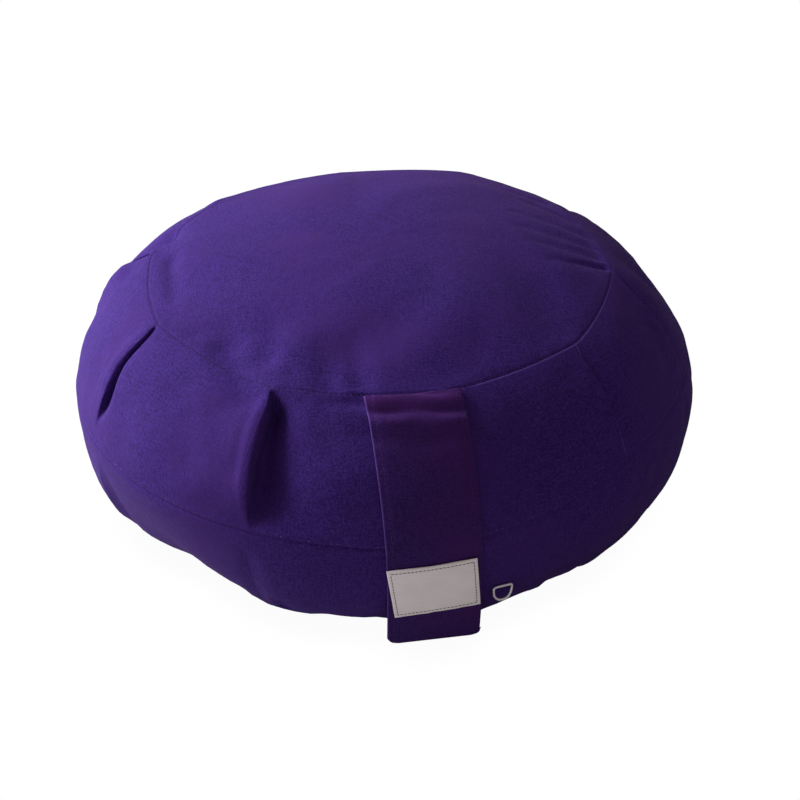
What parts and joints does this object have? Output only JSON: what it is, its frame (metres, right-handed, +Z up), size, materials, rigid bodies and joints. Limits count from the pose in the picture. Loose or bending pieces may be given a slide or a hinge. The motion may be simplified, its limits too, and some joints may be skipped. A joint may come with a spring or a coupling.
{
  "type": "zafu meditation cushion",
  "caption": "Round, firmly filled meditation cushion with a domed top, a pleated side, a belly seam, a carry strap with a plain sewn label, and a small wire zip pull.",
  "frame": {"origin": "on the floor under the middle of the flat base", "axes": "+Z up from the floor through the middle of the cushion, -Y towards the carry strap, +X to the right of the strap as one faces it"},
  "size_m": [0.349, 0.3517, 0.155],
  "materials": {
    "canvas": "purple cotton canvas, plain weave, matt with a faint heathered grain",
    "strap": "the same purple canvas folded double and edge-stitched",
    "label": "off-white woven label, bare, sewn round its edge",
    "wire": "bright nickel-plated wire"
  },
  "bodies": {
    "root": {"filled_case": "canvas", "carry_strap": "strap", "sewn_label": "label", "zip_pull": "wire"}
  },
  "joints": []
}
